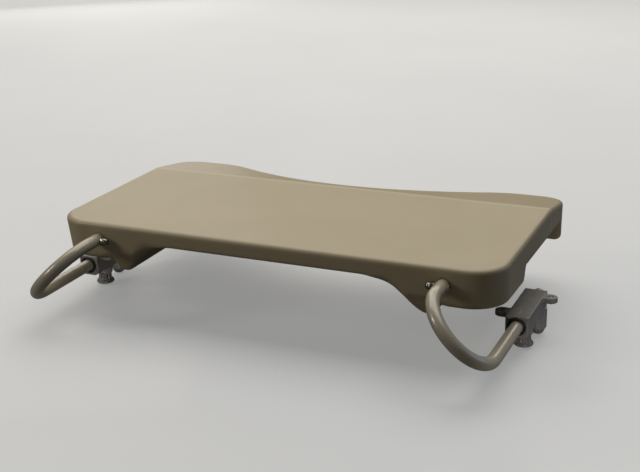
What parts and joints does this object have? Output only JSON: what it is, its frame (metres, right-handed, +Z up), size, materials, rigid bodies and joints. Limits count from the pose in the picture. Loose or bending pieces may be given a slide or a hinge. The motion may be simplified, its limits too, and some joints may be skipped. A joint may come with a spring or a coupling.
{
  "type": "recliner overlap tray table",
  "caption": "Moulded overlap tray table on bent steel arms that slide in knob-locked clamps under a clinical recliner's armrests.",
  "frame": {"origin": "middle of the tray's flat top, on its surface", "axes": "+X along the tray to the right as seen from its front edge, +Y across the tray towards the patient, +Z up"},
  "size_m": [0.7904, 0.5174, 0.1564],
  "materials": {
    "tray_moulding": "fine satin grain, tan",
    "arm_paint": "semi-gloss powder coat, taupe",
    "chrome": "polished",
    "zinc_steel": "bright zinc plate",
    "brass": "machined",
    "clamp_housing": "glass-filled nylon, dark warm grey",
    "knob_plastic": "moulded, charcoal",
    "nylon": "bearing nylon, near black",
    "black_plastic": "moulded, black"
  },
  "bodies": {
    "clamps": {"left_clamp_body": "clamp_housing", "left_tube_liner": "nylon", "left_stud_insert": "brass", "left_set_screw": "zinc_steel", "left_mount_screw_front": "zinc_steel", "left_mount_screw_rear": "zinc_steel", "left_post_cap": "knob_plastic", "right_clamp_body": "clamp_housing", "right_tube_liner": "nylon", "right_stud_insert": "brass", "right_set_screw": "zinc_steel", "right_mount_screw_front": "zinc_steel", "right_mount_screw_rear": "zinc_steel", "right_post_cap": "knob_plastic"},
    "tray": {"tray_body": "tray_moulding", "left_arm_tube": "arm_paint", "left_tube_end_plug": "black_plastic", "left_cross_bolt": "arm_paint", "left_bolt_washer": "chrome", "left_cap_nut": "chrome", "left_tube_screw_front": "zinc_steel", "left_tube_screw_rear": "zinc_steel", "right_arm_tube": "arm_paint", "right_tube_end_plug": "black_plastic", "right_cross_bolt": "arm_paint", "right_bolt_washer": "chrome", "right_cap_nut": "chrome", "right_tube_screw_front": "zinc_steel", "right_tube_screw_rear": "zinc_steel"},
    "left_pad": {"left_pressure_pad": "nylon"},
    "left_hand_knob": {"left_knob": "knob_plastic", "left_knob_stud": "zinc_steel"},
    "right_pad": {"right_pressure_pad": "nylon"},
    "right_hand_knob": {"right_knob": "knob_plastic", "right_knob_stud": "zinc_steel"}
  },
  "joints": [
    {"name": "tray_slide", "type": "slide", "parent": "clamps", "child": "tray", "axis": [0, 1, 0], "range_m": [-0.07, 0.1]},
    {"name": "left_pad_travel", "type": "slide", "parent": "clamps", "child": "left_pad", "axis": [0, 0, 1], "range_m": [-0.0028, 0]},
    {"name": "left_knob_turn", "type": "hinge", "parent": "left_pad", "child": "left_hand_knob", "pos_m": [-0.35823, -0.0225, -0.13663], "axis": [0, 0, 1], "range_deg": [-720, 0]},
    {"name": "right_pad_travel", "type": "slide", "parent": "clamps", "child": "right_pad", "axis": [0, 0, 1], "range_m": [-0.0028, 0]},
    {"name": "right_knob_turn", "type": "hinge", "parent": "right_pad", "child": "right_hand_knob", "pos_m": [0.35823, -0.0225, -0.13663], "axis": [0, 0, 1], "range_deg": [-720, 0]}
  ],
  "couplings": [
    {"joint": "left_pad_travel", "follows": "left_knob_turn", "m_per_rad": 0.00019894},
    {"joint": "right_pad_travel", "follows": "right_knob_turn", "m_per_rad": 0.00019894}
  ]
}
